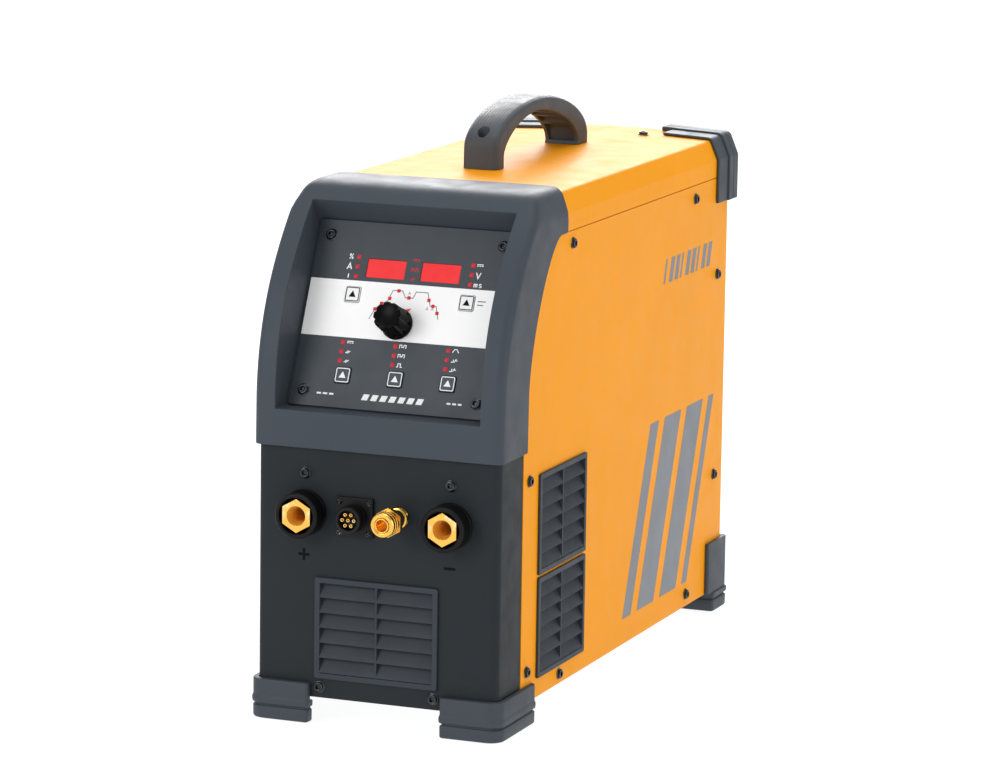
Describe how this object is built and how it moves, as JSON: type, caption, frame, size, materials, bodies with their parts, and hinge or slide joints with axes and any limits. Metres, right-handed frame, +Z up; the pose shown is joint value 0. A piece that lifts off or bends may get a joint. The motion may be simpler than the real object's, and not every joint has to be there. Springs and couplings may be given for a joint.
{
  "type": "tig welding machine",
  "caption": "Portable inverter TIG welder: orange steel case, dark moulded hood with a recessed control face, front weld sockets, louvred grilles, arched carrying handle and corner feet.",
  "frame": {"origin": "centre of the bounding box at the feet, on the surface it stands on", "axes": "+Z up, the front with the controls faces -Y, +X to the right of someone facing the front panel"},
  "size_m": [0.2304, 0.632, 0.5023],
  "materials": {
    "orange_paint": "fine-textured semi-gloss powder coat",
    "charcoal_paint": "fine-textured powder coat",
    "hood_plastic": "fine spark-eroded grain",
    "trim_plastic": "fine grain, slightly rubbery",
    "grille_plastic": "fine grain",
    "face_plate": "satin paint with printed white graphics",
    "key_silicone": "satin silicone with printed legend",
    "display_lens": "red acrylic window, lit",
    "knob_plastic": "satin gloss",
    "black_plastic": "satin",
    "black_screw": "black oxide",
    "brass": "polished, lightly machined",
    "galvanised_steel": "zinc plated",
    "bright_wire": "bright nickel",
    "aluminium": "extruded",
    "circuit_board": "solder resist",
    "ferrite": "sintered",
    "copper": "enamelled wire",
    "hose_rubber": "smooth"
  },
  "bodies": {
    "root": {"base_pan": "galvanised_steel", "top_cover": "orange_paint", "side_panel_right": "orange_paint", "side_panel_left": "orange_paint", "front_panel": "charcoal_paint", "rear_panel": "charcoal_paint", "front_hood": "hood_plastic", "control_plate": "face_plate", "display_left": "display_lens", "display_right": "display_lens", "control_board": "circuit_board", "encoder_body": "galvanised_steel", "weld_socket_shell_pos": "black_plastic", "weld_socket_shell_neg": "black_plastic", "weld_socket_contact_pos": "brass", "weld_socket_contact_neg": "brass", "torch_socket_shell": "black_plastic", "torch_socket_insert": "brass", "gas_fitting_body": "brass", "front_grille": "grille_plastic", "side_grille_right_lower": "grille_plastic", "side_grille_right_upper": "grille_plastic", "side_grille_left_lower": "grille_plastic", "side_grille_left_upper": "grille_plastic", "handle": "trim_plastic", "handle_bolt_front": "black_screw", "handle_bolt_rear": "black_screw", "foot_front_right": "trim_plastic", "foot_front_left": "trim_plastic", "foot_rear_right": "trim_plastic", "foot_rear_left": "trim_plastic", "rear_guard_right": "trim_plastic", "rear_guard_left": "trim_plastic", "fan_frame": "black_plastic", "fan_guard": "bright_wire", "power_switch_body": "black_plastic", "cable_gland": "black_plastic", "gas_inlet": "brass", "inner_deck": "galvanised_steel", "heatsink": "aluminium", "power_board": "circuit_board", "capacitor_left": "black_plastic", "capacitor_right": "black_plastic", "transformer_core": "ferrite", "transformer_winding": "copper", "hf_coil": "copper", "gas_valve_body": "brass", "gas_hose": "hose_rubber"},
    "encoder_press": {"encoder_plunger": "black_plastic"},
    "control_knob": {"encoder_shaft": "galvanised_steel", "knob": "knob_plastic"},
    "key_1": {"key_1": "key_silicone"},
    "key_2": {"key_2": "key_silicone"},
    "key_3": {"key_3": "key_silicone"},
    "key_4": {"key_4": "key_silicone"},
    "key_5": {"key_5": "key_silicone"},
    "gas_sleeve": {"gas_release_sleeve": "brass"},
    "valve_plunger": {"gas_valve_plunger": "galvanised_steel"},
    "fan": {"fan_rotor": "black_plastic"},
    "power_switch": {"power_switch_knob": "black_plastic"}
  },
  "joints": [
    {"name": "knob_press", "type": "slide", "parent": "root", "child": "encoder_press", "axis": [0, 0.9085, -0.4179], "range_m": [0, 0.0005], "stiffness_N_per_m": 2500, "springref_m": -0.0004},
    {"name": "knob_turn", "type": "hinge", "parent": "encoder_press", "child": "control_knob", "pos_m": [-0.004, -0.22885, 0.33744], "axis": [0, -0.9085, 0.4179], "continuous": true},
    {"name": "key_1_press", "type": "slide", "parent": "root", "child": "key_1", "axis": [0, 0.9085, -0.4179], "range_m": [0, 0.0006], "stiffness_N_per_m": 1500, "springref_m": -0.0004},
    {"name": "key_2_press", "type": "slide", "parent": "root", "child": "key_2", "axis": [0, 0.9085, -0.4179], "range_m": [0, 0.0006], "stiffness_N_per_m": 1500, "springref_m": -0.0004},
    {"name": "key_3_press", "type": "slide", "parent": "root", "child": "key_3", "axis": [0, 0.9085, -0.4179], "range_m": [0, 0.0006], "stiffness_N_per_m": 1500, "springref_m": -0.0004},
    {"name": "key_4_press", "type": "slide", "parent": "root", "child": "key_4", "axis": [0, 0.9085, -0.4179], "range_m": [0, 0.0006], "stiffness_N_per_m": 1500, "springref_m": -0.0004},
    {"name": "key_5_press", "type": "slide", "parent": "root", "child": "key_5", "axis": [0, 0.9085, -0.4179], "range_m": [0, 0.0006], "stiffness_N_per_m": 1500, "springref_m": -0.0004},
    {"name": "gas_sleeve_pull", "type": "slide", "parent": "root", "child": "gas_sleeve", "axis": [0, 1, 0], "range_m": [0, 0.0035], "stiffness_N_per_m": 1200, "springref_m": -0.002},
    {"name": "valve_plunger_lift", "type": "slide", "parent": "root", "child": "valve_plunger", "axis": [0, 0, 1], "range_m": [0, 0.0015], "stiffness_N_per_m": 900, "springref_m": -0.001},
    {"name": "fan_spin", "type": "hinge", "parent": "root", "child": "fan", "pos_m": [0, 0.27, 0.134], "axis": [0, 1, 0], "continuous": true},
    {"name": "power_switch_turn", "type": "hinge", "parent": "root", "child": "power_switch", "pos_m": [-0.058, 0.297, 0.352], "axis": [0, -1, 0], "range_deg": [0, 90]}
  ]
}
